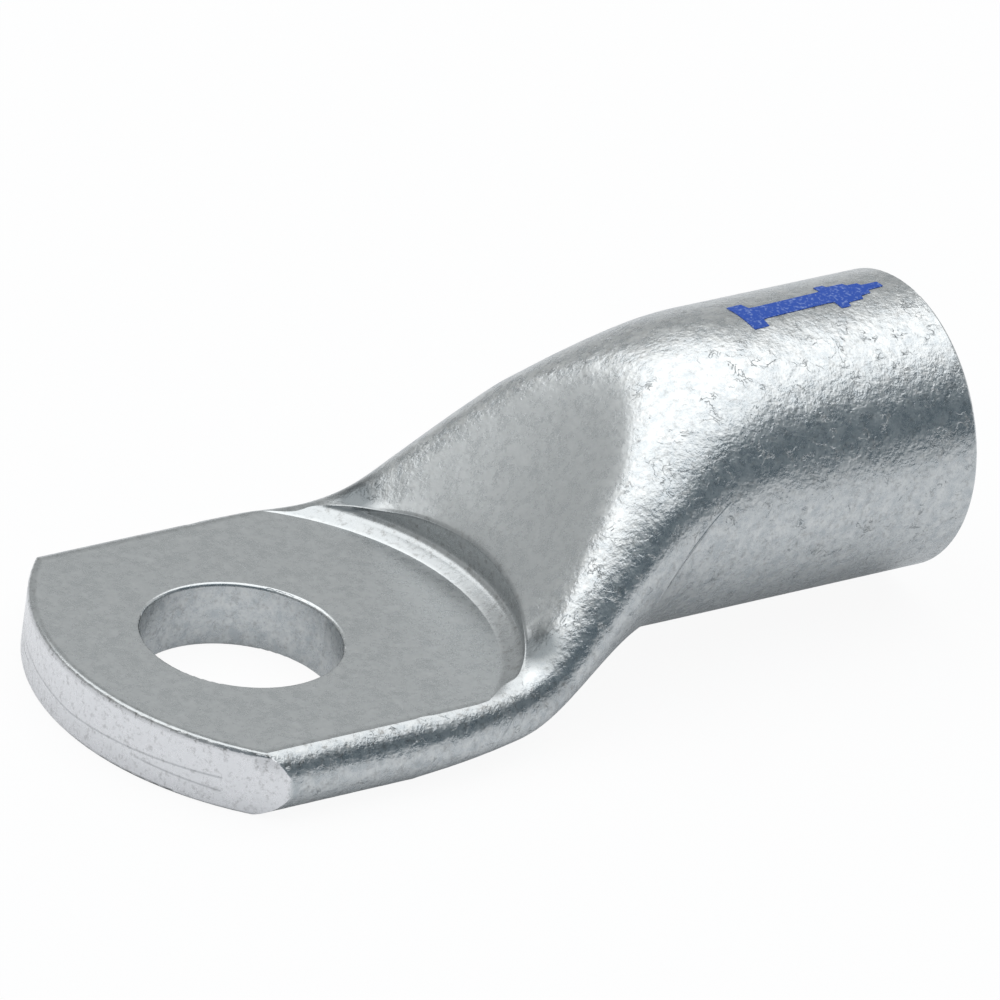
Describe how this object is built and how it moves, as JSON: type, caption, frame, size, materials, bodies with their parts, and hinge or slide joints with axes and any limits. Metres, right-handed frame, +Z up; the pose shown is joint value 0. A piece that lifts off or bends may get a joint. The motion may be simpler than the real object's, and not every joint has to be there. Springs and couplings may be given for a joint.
{
  "type": "cable lug",
  "caption": "Heavy tubular cable lug: round crimp barrel, formed neck, and a flat palm with a stud hole and a rounded sheared end.",
  "frame": {"origin": "centre of the stud hole, on the flat underside of the palm", "axes": "+X along the lug from the stud hole to the mouth of the barrel, +Z up out of the palm, +Y across the palm"},
  "size_m": [0.0623, 0.0292, 0.02],
  "materials": {
    "tinned_copper": "tin plated copper, tumbled to a soft satin sheen"
  },
  "bodies": {
    "root": {"cable_lug": "tinned_copper"}
  },
  "joints": []
}
